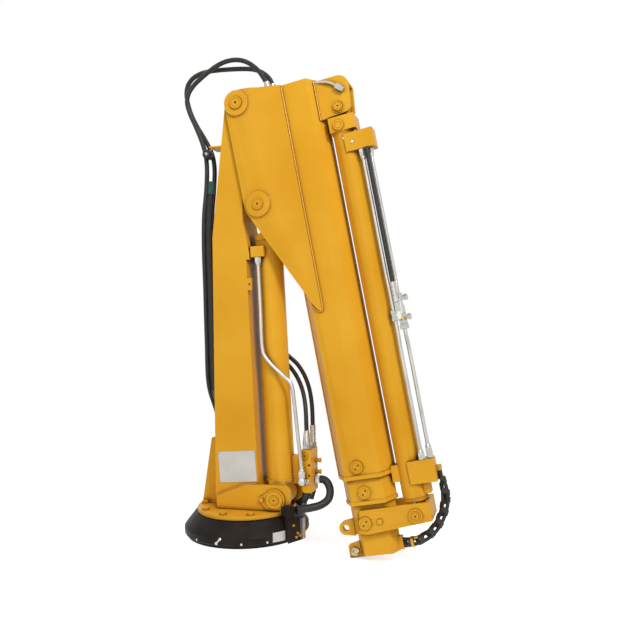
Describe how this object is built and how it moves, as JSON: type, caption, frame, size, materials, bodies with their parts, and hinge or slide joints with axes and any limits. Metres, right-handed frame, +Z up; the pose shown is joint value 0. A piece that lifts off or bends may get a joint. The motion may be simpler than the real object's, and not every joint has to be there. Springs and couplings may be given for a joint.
{
  "type": "truck crane",
  "caption": "Folding hydraulic crane for a pickup bed: slewing column, lift cylinder and a telescopic boom that folds down beside it.",
  "frame": {"origin": "centre of the foot plate's underside, on the slewing axis", "axes": "+Z up the column, +X from the column towards the folded boom, +Y to the back"},
  "size_m": [0.8671, 0.426, 1.5935],
  "materials": {
    "paint": "semi-gloss",
    "black_paint": "satin",
    "bright_steel": "bright",
    "chrome": "polished",
    "bronze": "satin",
    "rubber": "satin",
    "iron": "dull"
  },
  "bodies": {
    "base": {"foot_plate": "black_paint", "slew_gear_ring": "iron"},
    "column": {"slew_housing": "black_paint", "worm_end_cap": "iron", "slew_motor": "iron", "turntable_flange": "paint", "column_post": "paint", "main_pin_bush": "bronze", "column_gusset": "paint", "foot_ear_front": "paint", "foot_ear_back": "paint", "foot_pin_keeper": "paint", "foot_pin": "bright_steel", "hose_bracket": "black_paint", "guard_plate": "bright_steel", "hose_manifold": "bright_steel", "column_hose_outer": "rubber", "column_hose_inner": "rubber", "feed_hose": "rubber"},
    "lift_barrel": {"lift_barrel": "paint", "lift_gland": "paint", "lift_port_block": "paint", "lift_pipe": "bright_steel", "valve_block": "paint", "valve_arm": "paint", "valve_hose": "rubber", "valve_hose_back": "rubber"},
    "lift_rod": {"lift_rod": "chrome", "lift_piston": "bright_steel", "lift_pin": "bright_steel"},
    "boom": {"outer_boom": "paint", "knee_plate_front": "paint", "knee_plate_back": "paint", "main_pin": "bright_steel", "knee_tie_plate": "paint", "extension_bracket": "paint", "extension_pin": "bright_steel", "extension_barrel": "paint", "extension_gland": "paint", "upper_port_block": "paint", "lower_port_block": "paint", "barrel_saddle": "paint", "pipe_union": "bright_steel", "steel_pipe_upper_left": "bright_steel", "steel_pipe_upper_right": "bright_steel", "steel_pipe_lower_left": "bright_steel", "steel_pipe_lower_right": "bright_steel", "boom_hose": "rubber", "tip_hose_front": "rubber", "tip_hose_back": "rubber"},
    "section_2": {"section_2": "paint"},
    "section_3": {"section_3": "paint", "extension_bar": "paint", "rod_pin": "bright_steel", "hook_lug": "paint", "extension_rod": "chrome", "extension_piston": "bright_steel"},
    "tip": {"section_4": "paint", "tip_lug": "paint", "tip_lug_pin": "bright_steel"}
  },
  "joints": [
    {"name": "slew", "type": "hinge", "parent": "base", "child": "column", "pos_m": [0, 0, 0], "axis": [0, 0, 1], "range_deg": [-180, 180]},
    {"name": "boom_hinge", "type": "hinge", "parent": "column", "child": "boom", "pos_m": [0.02, 0, 1.366], "axis": [0, -1, 0], "range_deg": [0, 145], "deforming": ["column_hose_outer", "column_hose_inner"]},
    {"name": "lift_barrel_hinge", "type": "hinge", "parent": "column", "child": "lift_barrel", "pos_m": [0.122, 0, 0.124], "axis": [0, -1, 0], "range_deg": [-3.3, 0], "deforming": ["feed_hose"]},
    {"name": "lift_rod_slide", "type": "slide", "parent": "lift_barrel", "child": "lift_rod", "axis": [-0.0382, 0, 0.9993], "range_m": [0, 0.623]},
    {"name": "section_2_slide", "type": "slide", "parent": "boom", "child": "section_2", "axis": [0.1736, 0, -0.9848], "range_m": [0, 0.501]},
    {"name": "section_3_slide", "type": "slide", "parent": "boom", "child": "section_3", "axis": [0.1736, 0, -0.9848], "range_m": [0, 1.001]},
    {"name": "tip_slide", "type": "slide", "parent": "boom", "child": "tip", "axis": [0.1736, 0, -0.9848], "range_m": [0, 1.5], "deforming": ["tip_hose_front", "tip_hose_back"]}
  ],
  "couplings": [
    {"joint": "lift_barrel_hinge", "follows": "boom_hinge", "ratio": -0.022151},
    {"joint": "lift_rod_slide", "follows": "boom_hinge", "m_per_rad": 0.24592},
    {"joint": "section_3_slide", "follows": "tip_slide", "ratio": 0.66667},
    {"joint": "section_2_slide", "follows": "tip_slide", "ratio": 0.33333}
  ]
}
